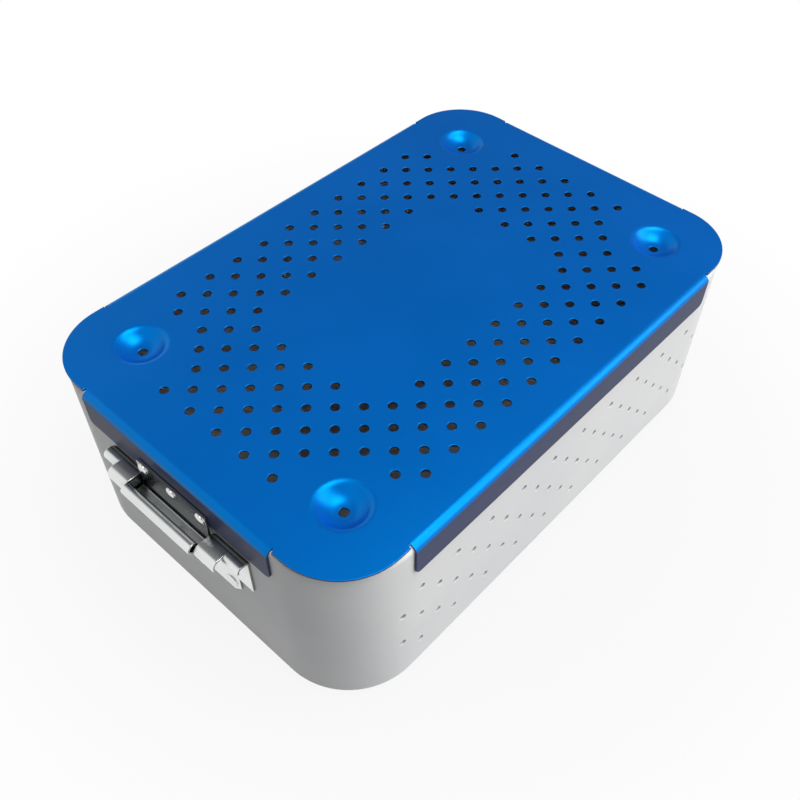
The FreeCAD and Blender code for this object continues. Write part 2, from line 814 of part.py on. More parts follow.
def lever_section():
    """Leaf, web and grip of the lever as one bent sheet, its grip edge rolled outwards."""
    metal = cell("lever_sheet")
    bevel = cell("lever_bend")
    inside = inner_bevel(bevel, metal)
    end = leaf_inner + cell("web_depth")
    web_top = web_under + metal
    leaf_top = lid_top - cell("leaf_drop")
    roll = cell("grip_radius")
    bore = roll - metal
    roll_x = end - metal + roll
    roll_z = lid_top - cell("grip_drop")
    return [
        (leaf_inner, leaf_top),
        (leaf_inner, web_under + bevel),
        (leaf_inner + bevel, web_under),
        (end - bevel, web_under),
        (end, web_under + bevel),
        (end, roll_z, bore, -1),
        (roll_x, roll_z + bore, bore, -1),
        (roll_x + bore, roll_z, bore, -1),
        (roll_x, roll_z - bore),
        (roll_x, roll_z - roll, roll, 1),
        (roll_x + roll, roll_z, roll, 1),
        (roll_x, roll_z + roll, roll, 1),
        (roll_x - roll, roll_z),
        (end - metal, web_top + inside),
        (end - metal - inside, web_top),
        (leaf_outer + inside, web_top),
        (leaf_outer, web_top + inside),
        (leaf_outer, leaf_top),
    ]


def knuckle_outline():
    """Lever cheek, hung from the web and rounded about the pin."""
    radius = cell("knuckle_radius")
    top = web_under + cell("lever_sheet") / 2
    return [
        (pin_x - radius, top),
        (pin_x - radius, pin_z, radius, 1),
        (pin_x, pin_z - radius, radius, 1),
        (pin_x + radius, pin_z),
        (pin_x + radius, top),
    ]


def build_lever(label):
    body = new_body(label + "_blank")
    section = new_sketch(body, label + "_section", "XZ_Plane")
    draw_outline(section, lever_section())
    pad(body, label + "_channel", section, cell("lever_half") * 2, midplane=True)
    start = cell("lever_half") - cell("lever_sheet")
    cheek = new_sketch(body, label + "_knuckle_outline", "XZ_Plane", (ZERO, ZERO, start))
    draw_outline(cheek, knuckle_outline())
    draw_bound_polygon(cheek, pin_x, pin_z, pin_hole_flats, FASTENER_SIDES)
    cheek_pad = pad(body, label + "_knuckle", cheek, cell("lever_sheet"))
    mirror(body, label + "_knuckle_pair", [cheek_pad], "XZ_Plane")
    holes = hole_tool(
        label + "_stud_bores",
        facing("X", leaf_inner.value, 0, 0),
        stud_centres(),
        loose_radius("stud_bore", "rivet_clearance"),
        cell("lever_sheet") * 4,
        FASTENER_SIDES,
    )
    lever = cut(label + "_drilled", body, holes)
    lever.Label = label
    return lever


def stud_centres():
    spacing = cell("stud_spacing").value
    return [(y, stud_z.value) for y in (-spacing, 0.0, spacing)]


def build_studs(label):
    """Locking studs riveted through the leaf, their ends in the skirt's holes."""
    shank = cell("stud_bore").value / 2
    tip = (half_length - cell("stud_reach")).value
    sections = [(shank, tip), (shank, leaf_outer.value)]
    head = cell("stud_head").value / 2
    sections += domed_head(head, leaf_outer.value, cell("stud_head_height").value)
    return group(label, [turned_along_x(y, z, sections) for y, z in stud_centres()])


def spring_path():
    """Wall leg, coil about the pin and web leg, as corners of the bent wire."""
    wire = cell("spring_wire").value
    seat = wire / 2 + cell("seat_gap").value
    radius = pin_radius.value + cell("spring_gap").value + wire / 2
    steps = int(round(cell("spring_turns").value * COIL_STEPS))
    advance = cell("spring_pitch").value / COIL_STEPS
    first_y = -advance * steps / 2
    foot_z = pin_z.value - cell("spring_wall_leg").value
    points = [FreeCAD.Vector(wall_x.value + seat, first_y, foot_z)]
    for step in range(steps + 1):
        angle = math.pi - 2 * math.pi * step / COIL_STEPS
        x = pin_x.value + radius * math.cos(angle)
        z = pin_z.value + radius * math.sin(angle)
        points.append(FreeCAD.Vector(x, first_y + advance * step, z))
    web_end = pin_x.value + cell("spring_web_leg").value
    points.append(FreeCAD.Vector(web_end, -first_y, web_under.value - seat))
    return points


def build_spring(label):
    """Torsion spring that holds the lever closed."""
    points = spring_path()
    path = Part.makePolygon(points)
    radius = cell("spring_wire").value / 2 / math.cos(math.pi / WIRE_SIDES)
    direction = points[1] - points[0]
    corners = polygon_points(0, 0, radius, WIRE_SIDES)
    section = Part.makePolygon(corners + corners[:1])
    turn = FreeCAD.Rotation(FreeCAD.Vector(0, 0, 1), direction)
    section.Placement = FreeCAD.Placement(points[0], turn)
    coil = path.makePipeShell([section], True, True, 1)
    return group(label, [coil])


# Every piece, with the two latches facing away from each other

LATCH_BUILDERS = [
    ("latch_bracket", build_bracket),
    ("bracket_rivets", build_rivets),
    ("hinge_pin", build_pin),
    ("torsion_spring", build_spring),
    ("latch_lever", build_lever),
    ("lock_studs", build_studs),
]

pieces = [build_lid(), build_wall(), build_floor()]
for side, turn in (("right", 0), ("left", 180)):
    facing_side = FreeCAD.Placement(
        FreeCAD.Vector(0, 0, 0), FreeCAD.Rotation(FreeCAD.Vector(0, 0, 1), turn)
    )
    for name, builder in LATCH_BUILDERS:
        piece = builder("%s_%s" % (side, name))
        piece.Placement = facing_side
        pieces.append(piece)
doc.recompute()

for item in doc.Objects:
    if "Invalid" in item.State or "Error" in item.State:
        raise RuntimeError("%s failed: %s" % (item.Name, item.State))
for piece in pieces:
    if piece.Shape.isNull() or not piece.Shape.isValid():
        raise RuntimeError("%s has no valid shape" % piece.Label)
for piece in pieces:
    piece.Shape.exportStep("parts/%s.step" % piece.Label)
    count = len(piece.Shape.Solids)
    print("%s: %d solid(s), %.1f mm3" % (piece.Label, count, piece.Shape.Volume))
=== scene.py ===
"""Looks of the sterilization container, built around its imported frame."""

import math
import bpy
from mathutils import Euler, Matrix, Vector
from mathutils.geometry import delaunay_2d_cdt


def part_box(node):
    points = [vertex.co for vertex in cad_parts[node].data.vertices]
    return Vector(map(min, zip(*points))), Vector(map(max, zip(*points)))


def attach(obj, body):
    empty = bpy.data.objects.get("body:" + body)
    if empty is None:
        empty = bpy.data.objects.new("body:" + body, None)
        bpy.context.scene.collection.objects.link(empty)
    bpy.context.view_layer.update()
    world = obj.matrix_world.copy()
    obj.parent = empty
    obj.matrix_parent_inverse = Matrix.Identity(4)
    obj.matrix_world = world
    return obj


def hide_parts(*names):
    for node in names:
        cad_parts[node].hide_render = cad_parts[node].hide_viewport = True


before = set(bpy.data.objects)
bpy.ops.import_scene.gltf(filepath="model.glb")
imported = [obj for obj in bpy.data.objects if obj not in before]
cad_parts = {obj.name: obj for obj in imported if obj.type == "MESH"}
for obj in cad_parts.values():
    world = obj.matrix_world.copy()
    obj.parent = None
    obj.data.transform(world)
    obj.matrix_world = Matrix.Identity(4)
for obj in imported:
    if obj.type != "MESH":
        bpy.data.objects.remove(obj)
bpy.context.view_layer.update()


# Lengths below are in millimetres, and meshes are scaled to metres when they are made
MM = 0.001


def node_box(node):
    """Lowest and highest corner of a frame node in millimetres."""
    low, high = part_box(node)
    return low / MM, high / MM


# Sizes read from the frame
LID_LOW, LID_HIGH = node_box("lid")
WALL_LOW, WALL_HIGH = node_box("base_wall")
FLOOR_HIGH = node_box("base_floor")[1]
PIN_LOW, PIN_HIGH = node_box("right_hinge_pin")
STUD_LOW, STUD_HIGH = node_box("right_lock_studs")
LID_TOP = LID_HIGH.z
SKIRT_EDGE = LID_LOW.z
HALF_X = LID_HIGH.x
HALF_Y = LID_HIGH.y
WALL_X = WALL_HIGH.x
WALL_Y = WALL_HIGH.y
WALL_TOP = WALL_HIGH.z
WALL_FOOT = WALL_LOW.z
FLOOR_TOP = FLOOR_HIGH.z

# Sizes of the pressed and bent sheet. Holes are given by their width
SHEET = 1.2
EDGE_ROUNDING = 0.25
CORNER_RADIUS = 40.0
LID_SHEET = 1.0
LID_BEND = 4.2
SKIRT_CORNER = 3.0
RELIEF_WIDTH = 1.2
RELIEF_REACH = 3.4
EAR_SETBACK = 2.1
EAR_RADIUS = 32.2
LID_HOLE = 4.5
LID_HOLE_PITCH = 12.5
DIMPLE_X = HALF_X - 36.5
DIMPLE_Y = HALF_Y - 35.5
DIMPLE_RIM = 13.6
DIMPLE_BOTTOM = 2.8
DIMPLE_STEEPEST = 0.7
DIMPLE_DEPTH = 5.0
DIMPLE_CLEAR = 24.0
HOLE_MARGIN = 20.0
PLAIN_HALF_X = 66.0
PLAIN_HALF_Y = 40.0
DRAIN = 4.6
RIM_BEND = 3.0
RIM_WIDTH = 8.0
FLANGE_WIDTH = 9.0
VENT = 3.2
VENT_STEP = 11.5
VENT_ROWS = 5
VENT_TOP = LID_TOP - 36.0
FOOT_RIM = 12.7
FOOT_BOTTOM = 7.0
FOOT_STEEPEST = 0.5

# Sizes of the latch
BRACKET_LOW, BRACKET_HIGH = node_box("right_latch_bracket")
LEVER_LOW, LEVER_HIGH = node_box("right_latch_lever")
SHELF_TOP = BRACKET_HIGH.z
SHELF_HALF = 36.0
LIP_EDGE = SHELF_TOP - 5.0
TAB_END = WALL_X + 6.75
TAB_EDGE = SHELF_TOP - 3.5
TAB_FOOT = LID_TOP - 46.0
PLATE_CUT = 5.0
WINDOW_GAP = 0.7
WINDOW_HALF = LEVER_HIGH.y + WINDOW_GAP
WINDOW_FOOT = LID_TOP - 43.0
CHEEK_RADIUS = 4.0
BEND = 2.4
LIP_BEND = 3.4
LEAF_GAP = 0.3
LEAF_OUTER = HALF_X + LEAF_GAP + SHEET
WEB_UNDER = LID_TOP - 31.0
GRIP_RADIUS = 2.8
GRIP_TOP = LID_TOP - 22.1
GRIP_END = -130
KNUCKLE_RADIUS = 3.6
PIN_HOLE = 1.56

# Sizes of the latch fasteners and spring
PIN_X = (PIN_LOW.x + PIN_HIGH.x) / 2
PIN_Z = (PIN_LOW.z + PIN_HIGH.z) / 2
PIN_RADIUS = 1.5
PIN_HEAD_HEIGHT = 0.9
DOME_EDGE = 0.15
RIVET_SHANK = 2.0
RIVET_SPREAD = 30.5
RIVET_LEVELS = (LID_TOP - 38.5, LID_TOP - 53.5)
STUD_SPACING = 19.0
STUD_LEVEL = (STUD_LOW.z + STUD_HIGH.z) / 2
STUD_SHANK = 1.5
STUD_CLEARANCE = 0.35
STUD_PLACES = (-STUD_SPACING, 0.0, STUD_SPACING)
SPRING_WIRE = 1.0
SPRING_LEG_WIRE = 0.96
SPRING_COIL_GAP = 0.45
SPRING_WALL_GAP = 0.3
SPRING_RADIUS = PIN_RADIUS + SPRING_COIL_GAP + SPRING_WIRE / 2
SPRING_TURNS = 4.33
SPRING_PITCH = 1.3
SPRING_SEAT = SPRING_WIRE / 2 + SPRING_WALL_GAP

# Smoothness of what is drawn round
EDGE_TURNS = (0, 30, 60, 90)
HOLE_SIDES = 24
CUP_SIDES = 48
CUP_STEPS = 20
ARC_STEPS = 8
CORNER_STEPS = 24
VENTED_STEPS = 3
TURNED_SIDES = 32
WIRE_SIDES = 12
COIL_STEPS = 32
FOLLOWING_STEPS = 7

# What counts as smooth, as straight, as no distance, and as the same place or normal
CREASE = math.cos(math.radians(35))
STRAIGHT = 1e-3
TOLERANCE = 1e-6
SHARED_DIGITS = 4

UP = Vector((0, 0, 1))
LATCH_TURNS = {"right": 0.0, "left": math.pi}
QUADRANTS = [(1, 1), (-1, 1), (-1, -1), (1, -1)]


def show(name, data):
    """A new object in the scene."""
    made = bpy.data.objects.new(name, data)
    bpy.context.scene.collection.objects.link(made)
    return made


class Surface:
    """Collects faces in millimetres whose corners carry the normals of the true surface."""

    def __init__(self):
        self.index = {}
        self.points = []
        self.normals = []
        self.faces = []

    def corner(self, point, normal):
        """Number of a corner, the same for corners that share place and normal."""
        key = tuple(round(value, SHARED_DIGITS) for value in (*point, *normal))
        if key not in self.index:
            self.index[key] = len(self.points)
            self.points.append(point)
            self.normals.append(normal)
        return self.index[key]

    def face(self, corners):
        """Adds a face through (point, normal) corners, turned to agree with the normals."""
        points = [point for point, normal in corners]
        drawn = Vector()
        for start, end in zip(points, points[1:] + points[:1]):
            drawn += start.cross(end)
        wanted = sum((normal for point, normal in corners), Vector())
        if drawn.dot(wanted) < 0:
            corners = corners[::-1]
        numbers = []
        for point, normal in corners:
            number = self.corner(point, normal)
            if number not in numbers:
                numbers.append(number)
        if len(numbers) > 2:
            self.faces.append(numbers)

    def strip(self, rails):
        """Joins neighbouring rails, each a list of (point, normal), with four-cornered faces."""
        for near, far in zip(rails, rails[1:]):
            for step in range(len(near) - 1):
                self.face([near[step], near[step + 1], far[step + 1], far[step]])

    def make(self, name, turn=0.0):
        """The finished mesh object, turned about the upright axis."""
        rotation = Matrix.Rotation(turn, 3, "Z")
        mesh = bpy.data.meshes.new(name)
        mesh.from_pydata([rotation @ point * MM for point in self.points], [], self.faces)
        mesh.shade_smooth()
        mesh.normals_split_custom_set_from_vertices([rotation @ n for n in self.normals])
        return show(name, mesh)


class Plane:
    """A drawing plane with its directions across, up and out, from a point on the front face."""

    def __init__(self, origin, across, up):
        self.origin = Vector(origin)
        self.across = Vector(across)
        self.up = Vector(up)
        self.out = self.across.cross(self.up)

    def point(self, flat, depth=0.0):
        """The place in space of a flat point, at some depth behind the front face."""
        return self.origin + self.across * flat[0] + self.up * flat[1] - self.out * depth

    def direction(self, flat, outward=0.0):
        """The direction in space of a flat direction, leaning outward."""
        made = self.across * flat[0] + self.up * flat[1] + self.out * outward
        return made.normalized()


def arc(centre, radius, start, end, steps):
    """Points of an arc, angles in degrees."""
    angles = [math.radians(start + (end - start) * step / steps) for step in range(steps + 1)]
    return [Vector((centre[0] + radius * math.cos(angle), centre[1] + radius * math.sin(angle)))
            for angle in angles]


def hole_loop(x, y, radius, sides=HOLE_SIDES):
    """A circle drawn clockwise, as the inner loop of a sheet."""
    return arc((x, y), radius, 0, -360, sides)[:-1]


def quadrants(x, y):
    """A point and its mirror images in the other three quarters."""
    return [(x * sx, y * sy) for sx, sy in QUADRANTS]


def side_normals(points, closed=True):
    """The right-hand normal of each side of a polyline."""
    following = points[1:] + (points[:1] if closed else [])
    return [Vector((b.y - a.y, a.x - b.x)).normalized() for a, b in zip(points, following)]


def walk(points, closed=True):
    """Sides of a polyline as (start, normal there, end, normal there).

    Where the line bends gently, the sides on either hand share a normal.
    """

    def mixed(own, other):
        return (own + other).normalized() if own.dot(other) > CREASE else own

    normals = side_normals(points, closed)
    count = len(normals)
    sides = []
    for number, own in enumerate(normals):
        before = normals[number - 1] if closed or number else own
        after = normals[(number + 1) % count] if closed or number + 1 < count else own
        end = points[(number + 1) % len(points)]
        sides.append((points[number], mixed(own, before), end, mixed(own, after)))
    return sides


def inset_steps(points, open_sides):
    """How each corner of a loop moves for an inset of one, open sides staying where they are."""
    normals = side_normals(points)
    steps = []
    for number, after in enumerate(normals):
        before = normals[number - 1]
        reach_before = 0.0 if (number - 1) % len(points) in open_sides else 1.0
        reach_after = 0.0 if number in open_sides else 1.0
        turn = before.x * after.y - before.y * after.x
        if abs(turn) < STRAIGHT:
            steps.append(after * reach_after)
            continue
        x = (reach_before * after.y - reach_after * before.y) / turn
        y = (reach_after * before.x - reach_before * after.x) / turn
        steps.append(Vector((x, y)))
    return steps


def triangles(loops):
    """Splits the area inside the first loop and outside the others into triangles.

    The others have to be convex.
    """
    points = []
    edges = []
    owners = []
    for number, loop in enumerate(loops):
        first = len(points)
        points += loop
        edges += [(first + i, first + (i + 1) % len(loop)) for i in range(len(loop))]
        owners += [number] * len(loop)
    corners, _, faces, sources, _, _ = delaunay_2d_cdt(points, edges, [], 1, TOLERANCE)
    made = []
    for face in faces:
        touched = {owners[sources[number][0]] for number in face}
        if len(touched) > 1 or touched == {0}:
            made.append([corners[number] for number in face])
    return made


def rounded_stations():
    """The lines of a rounded edge as (turn from the front, depth)."""
    return [(turn, EDGE_ROUNDING * (1 - math.cos(math.radians(turn)))) for turn in EDGE_TURNS]


def edge_faces(surface, plane, points, open_sides, stations):
    """Faces round a loop, along the stations. Returns the loop as it is on the front face.

    An open side has no edge of its own, because the metal goes on there.
    """
    steps = inset_steps(points, open_sides)
    for number, (_, start_out, _, end_out) in enumerate(walk(points)):
        if number in open_sides:
            continue
        rails = []
        for turn, depth in stations:
            aside = math.sin(math.radians(turn))
            ahead = math.cos(math.radians(turn))
            inset = EDGE_ROUNDING * (1 - aside)
            rail = []
            for index, out in ((number, start_out), ((number + 1) % len(points), end_out)):
                place = points[index] - steps[index] * inset
                rail.append((plane.point(place, depth), plane.direction(out * aside, ahead)))
            rails.append(rail)
        surface.strip(rails)
    return [point - step * EDGE_ROUNDING for point, step in zip(points, steps)]


def flat_sheet(surface, plane, loops, thickness=SHEET):
    """A flat sheet with a rounded front edge.

    Each loop is (points, open sides). The first runs anticlockwise round the outside, the others
    clockwise round holes.
    """
    stations = rounded_stations() + [(90, thickness)]
    front = [edge_faces(surface, plane, *loop, stations) for loop in loops]
    for corners in triangles(front):
        surface.face([(plane.point(corner), plane.out) for corner in corners])
    for corners in triangles([points for points, open_sides in loops]):
        surface.face([(plane.point(corner, thickness), -plane.out) for corner in corners])


def extruded(surface, plane, points, length, open_sides=()):
    """A section drawn out along a straight line, with both of its ends rounded off."""
    stations = rounded_stations()
    stations += [(180 - turn, length - depth) for turn, depth in stations[::-1]]
    inner = edge_faces(surface, plane, points, open_sides, stations)
    for corners in triangles([inner]):
        surface.face([(plane.point(corner), plane.out) for corner in corners])
        surface.face([(plane.point(corner, length), -plane.out) for corner in corners])


def turned(surface, origin, axis, profile, sides=TURNED_SIDES):
    """A piece turned about an axis, from its profile as (radius, distance along the axis)."""
    origin = Vector(origin)
    axis = Vector(axis).normalized()
    first = axis.orthogonal().normalized()
    second = axis.cross(first)
    angles = [2 * math.pi * step / sides for step in range(sides + 1)]
    for start, start_out, end, end_out in walk([Vector(p) for p in profile], closed=False):
        rails = []
        for flat, out in ((start, start_out), (end, end_out)):
            rail = []
            for angle in angles:
                around = first * math.cos(angle) + second * math.sin(angle)
                point = origin + around * flat.x + axis * flat.y
                rail.append((point, (around * out.x + axis * out.y).normalized()))
            rails.append(rail)
        surface.strip(rails)


def cup_profile(rim, bottom, depth, steepest):
    """The pressed shape from its rim to its bottom, steepest at the given share of the way out."""
    points = []
    for step in range(CUP_STEPS + 1):
        share = 1 - step / CUP_STEPS
        if share < steepest:
            rise = share * share / steepest
        else:
            rise = 1 - (1 - share) ** 2 / (1 - steepest)
        points.append((bottom + (rim - bottom) * share, depth * (rise - 1)))
    return points


def cups(surface, top, rim, bottom, depth, sheet, steepest):
    """The four pressed cups of a plate, each with a drain hole.

    Returns the loops that they leave in the plate.
    """
    drain = DRAIN / 2
    inside = cup_profile(rim, bottom, depth, steepest)
    outside = [(radius, level - sheet) for radius, level in inside] + [(drain, -depth - sheet)]
    lip = [(drain + EDGE_ROUNDING, -depth), (drain, -depth - EDGE_ROUNDING),
           (drain, -depth - sheet)]
    loops = []
    for x, y in quadrants(DIMPLE_X, DIMPLE_Y):
        turned(surface, (x, y, top), UP, (inside + lip)[::-1], CUP_SIDES)
        turned(surface, (x, y, top), UP, outside, CUP_SIDES)
        loops.append((hole_loop(x, y, rim, CUP_SIDES), set(range(CUP_SIDES))))
    return loops


# Lid: one folded sheet with four skirts, stacking dimples and a field of holes

# Lines along which the skirts are bent, and where those lines end
BEND_X = HALF_X - LID_BEND
BEND_Y = HALF_Y - LID_BEND
LINE_X = HALF_X - CORNER_RADIUS - RELIEF_WIDTH
LINE_Y = HALF_Y - CORNER_RADIUS - RELIEF_WIDTH


def lid_hole_centres():
    """A diagonal lattice that keeps clear of the edges, the dimples and the plain middle."""
    half_pitch = LID_HOLE_PITCH / math.sqrt(2)
    columns = int((HALF_X - HOLE_MARGIN) / half_pitch)
    rows = int((HALF_Y - HOLE_MARGIN) / half_pitch)
    centres = []
    for row in range(-rows, rows + 1):
        for column in range(-columns, columns + 1):
            x, y = column * half_pitch, row * half_pitch
            outside_middle = abs(x) > PLAIN_HALF_X or abs(y) > PLAIN_HALF_Y
            from_dimple = math.hypot(abs(x) - DIMPLE_X, abs(y) - DIMPLE_Y)
            if (row + column) % 2 == 0 and outside_middle and from_dimple > DIMPLE_CLEAR:
                centres.append((x, y))
    return centres


def lid_plate_loop():
    """Outline of the plate, and which of its sides are bend lines.

    The corners between the skirts lie flat. They are set back, so that seen from a side they run
    on smoothly into the bends.
    """
    end_x = HALF_X - CORNER_RADIUS
    end_y = HALF_Y - CORNER_RADIUS
    ear_x = HALF_X - EAR_SETBACK
    ear_y = HALF_Y - EAR_SETBACK
    slot_x = HALF_X - RELIEF_REACH
    slot_y = HALF_Y - RELIEF_REACH
    before = [(BEND_X, LINE_Y), (slot_x, LINE_Y), (slot_x, end_y), (ear_x, end_y)]
    after = [(end_x, ear_y), (end_x, slot_y), (LINE_X, slot_y), (LINE_X, BEND_Y)]
    rounded = arc((ear_x - EAR_RADIUS, ear_y - EAR_RADIUS), EAR_RADIUS, 0, 90, CORNER_STEPS)
    quarter = [Vector(p) for p in before] + rounded + [Vector(p) for p in after]
    points = []
    open_sides = set()
    for sx, sy in QUADRANTS:
        part = [Vector((point.x * sx, point.y * sy)) for point in quarter]
        points += part if sx * sy > 0 else part[::-1]
        open_sides.add(len(points) - 1)
    return points, open_sides


def skirt_loop(bend_half):
    """Front view of a skirt, open along the bend, with its upper middle at the origin."""
    level = SKIRT_EDGE - LID_TOP + LID_BEND + SKIRT_CORNER
    reach = bend_half - SKIRT_CORNER
    left = arc((-reach, level), SKIRT_CORNER, 180, 270, ARC_STEPS)
    right = arc((reach, level), SKIRT_CORNER, 270, 360, ARC_STEPS)
    points = left + right + [Vector((bend_half, 0)), Vector((-bend_half, 0))]
    return points, {len(left) + len(right)}


def skirt(surface, across, out, half_span, bend_half, holes):
    """One skirt with the bend that joins it to the plate, and loops of holes in its front view."""
    across = Vector(across)
    out = Vector(out)
    level = UP * (LID_TOP - LID_BEND)
    flat_sheet(surface, Plane(out * half_span + level, across, UP),
               [skirt_loop(bend_half)] + holes, LID_SHEET)
    axis = out * (half_span - LID_BEND) + level
    reach = across * bend_half
    rays = [out * flat.x + UP * flat.y for flat in arc((0, 0), 1, 0, 90, ARC_STEPS * 2)]
    radii = (LID_BEND, LID_BEND - LID_SHEET)
    for radius, sign in zip(radii, (1, -1)):
        surface.strip([[(axis + ray * radius + end, ray * sign) for end in (-reach, reach)]
                       for ray in rays])
    for sign in (-1, 1):
        surface.strip([[(axis + ray * radius + reach * sign, across * sign) for ray in rays]
                       for radius in radii])


def round_holes(centres, radius):
    """Loops of drilled holes, with edges all round."""
    return [(hole_loop(x, y, radius), set()) for x, y in centres]


def build_lid():
    """Plate with its dimples and holes, and the skirts, of which the short ones take the studs."""
    surface = Surface()
    dimples = cups(surface, LID_TOP, DIMPLE_RIM, DIMPLE_BOTTOM, DIMPLE_DEPTH, LID_SHEET,
                   DIMPLE_STEEPEST)
    loops = [lid_plate_loop()] + round_holes(lid_hole_centres(), LID_HOLE / 2) + dimples
    flat_sheet(surface, Plane((0, 0, LID_TOP), (1, 0, 0), (0, 1, 0)), loops, LID_SHEET)
    lock_level = STUD_LEVEL - (LID_TOP - LID_BEND)
    locks = round_holes([(y, lock_level) for y in STUD_PLACES], STUD_SHANK + STUD_CLEARANCE)
    for side in (-1, 1):
        skirt(surface, (-side, 0, 0), (0, side, 0), HALF_Y, LINE_X, [])
        skirt(surface, (0, side, 0), (side, 0, 0), HALF_X, LINE_Y, locks)
    return surface.make("lid_sheet")


# Base: a rolled band with turned rims, and a floor with pressed feet

def band_section():
    """Section of the band as (distance outside the wall, level), and its two upright sides."""
    bevel = EDGE_ROUNDING
    rim_centre = (-RIM_BEND, WALL_TOP - RIM_BEND)
    lower_bend = arc((-SHEET, WALL_FOOT + SHEET), SHEET, 270, 360, ARC_STEPS)
    upper_bend = arc(rim_centre, RIM_BEND, 0, 90, ARC_STEPS)
    inner_bend = arc(rim_centre, RIM_BEND - SHEET, 90, 0, ARC_STEPS)
    points = [Vector((-FLANGE_WIDTH, WALL_FOOT + bevel)),
              Vector((-FLANGE_WIDTH + bevel, WALL_FOOT))]
    points += lower_bend
    outer_side = len(points) - 1
    points += upper_bend
    points += [Vector((-RIM_WIDTH + bevel, WALL_TOP)), Vector((-RIM_WIDTH, WALL_TOP - bevel)),
               Vector((-RIM_WIDTH, WALL_TOP - SHEET))]
    points += inner_bend
    inner_side = len(points) - 1
    points += [Vector((-SHEET, WALL_FOOT + SHEET)), Vector((-FLANGE_WIDTH, WALL_FOOT + SHEET))]
    return points, {outer_side, inner_side}


def band_stations(half_x, half_y, radius):
    """Points and outward directions round a rounded rectangle, starting on a long side."""
    stations = []
    for number, (sx, sy) in enumerate([(1, -1), (1, 1), (-1, 1), (-1, -1)]):
        centre = Vector((sx * (half_x - radius), sy * (half_y - radius)))
        start = number * 90 - 90
        for point in arc(centre, radius, start, start + 90, CORNER_STEPS):
            stations.append((point, (point - centre).normalized()))
    return stations


def vent_centres():
    """Staggered rows of wall holes, as many as fit between the corner arcs."""
    columns = int((HALF_X - CORNER_RADIUS + VENT_STEP / 2) / VENT_STEP)
    centres = []
    for row in range(VENT_ROWS):
        for column in range(-columns, columns + 1):
            if (column + row) % 2:
                centres.append((column * VENT_STEP, VENT_TOP - row * VENT_STEP))
    return centres


def rounded_off(point, normal, half_run, radius):
    """A corner of a long wall, wrapped round the corner arc where it is beyond the straight run."""
    beyond = abs(point.x) - half_run
    if beyond <= 0:
        return point, normal
    end = math.copysign(1, point.x)
    front = math.copysign(1, point.y)
    reach = radius - (WALL_Y - abs(point.y))
    turn = beyond / radius
    onward = Vector((end * math.cos(turn), -front * math.sin(turn), 0))
    outward = Vector((end * math.sin(turn), front * math.cos(turn), 0))
    centre = Vector((end * half_run, front * (WALL_Y - radius), point.z))
    made = onward * (normal.x * end) + outward * (normal.y * front) + Vector((0, 0, normal.z))
    return centre + outward * reach, made


def vented_outline(half_run, radius):
    """Outline of the drilled part of a long wall, unrolled, with points where the band has them."""
    low = WALL_FOOT + SHEET
    high = WALL_TOP - RIM_BEND
    ends = [half_run + radius * math.radians(90 * step / CORNER_STEPS)
            for step in range(VENTED_STEPS + 1)]
    lower = [Vector((-x, low)) for x in ends[::-1]] + [Vector((x, low)) for x in ends]
    return lower + [Vector((point.x, high)) for point in lower[::-1]]


def build_wall():
    """Rolled band, whose upright sides give way to a drilled sheet along each long wall."""
    surface = Surface()
    radius = CORNER_RADIUS - (HALF_X - WALL_X)
    section, upright = band_section()
    stations = band_stations(WALL_X, WALL_Y, radius)
    sides = walk(section)
    vented_turn = math.sin(math.radians(90 * VENTED_STEPS / CORNER_STEPS)) + TOLERANCE
    for index, (near, near_out) in enumerate(stations):
        far, far_out = stations[(index + 1) % len(stations)]
        vented = max(abs(near_out.x), abs(far_out.x)) < vented_turn
        for number, (start, start_out, end, end_out) in enumerate(sides):
            if vented and number in upright:
                continue
            rails = []
            for flat, out in ((start, start_out), (end, end_out)):
                rail = []
                for place, outward in ((near, near_out), (far, far_out)):
                    moved = place + outward * flat.x
                    normal = Vector((outward.x * out.x, outward.y * out.x, out.y))
                    rail.append((Vector((moved.x, moved.y, flat.y)), normal))
                rails.append(rail)
            surface.strip(rails)
    half_run = WALL_X - radius
    outline = vented_outline(half_run, radius)
    loops = [(outline, set(range(len(outline))))] + round_holes(vent_centres(), VENT / 2)
    for side in (-1, 1):
        unrolled = Surface()
        flat_sheet(unrolled, Plane((0, side * WALL_Y, 0), (-side, 0, 0), UP), loops)
        for numbers in unrolled.faces:
            surface.face([rounded_off(unrolled.points[n], unrolled.normals[n], half_run, radius)
                          for n in numbers])
    return surface.make("wall_sheet")


def build_floor():
    """Floor plate with its feet, which stand in the dimples of a lid below."""
    surface = Surface()
    radius = CORNER_RADIUS - (HALF_X - FLOOR_HIGH.x)
    stations = band_stations(FLOOR_HIGH.x, FLOOR_HIGH.y, radius)
    loops = [([point for point, outward in stations], set())]
    loops += cups(surface, FLOOR_TOP, FOOT_RIM, FOOT_BOTTOM, FLOOR_TOP - SHEET, SHEET,
                  FOOT_STEEPEST)
    flat_sheet(surface, Plane((0, 0, FLOOR_TOP), (1, 0, 0), (0, 1, 0)), loops)
    return surface.make("floor_sheet")


# Latch, drawn on the right-hand side and turned for the left

def section_plane(y):
    """The plane of a section that is drawn out from y towards +Y."""
    return Plane((0, y, 0), (1, 0, 0), UP)


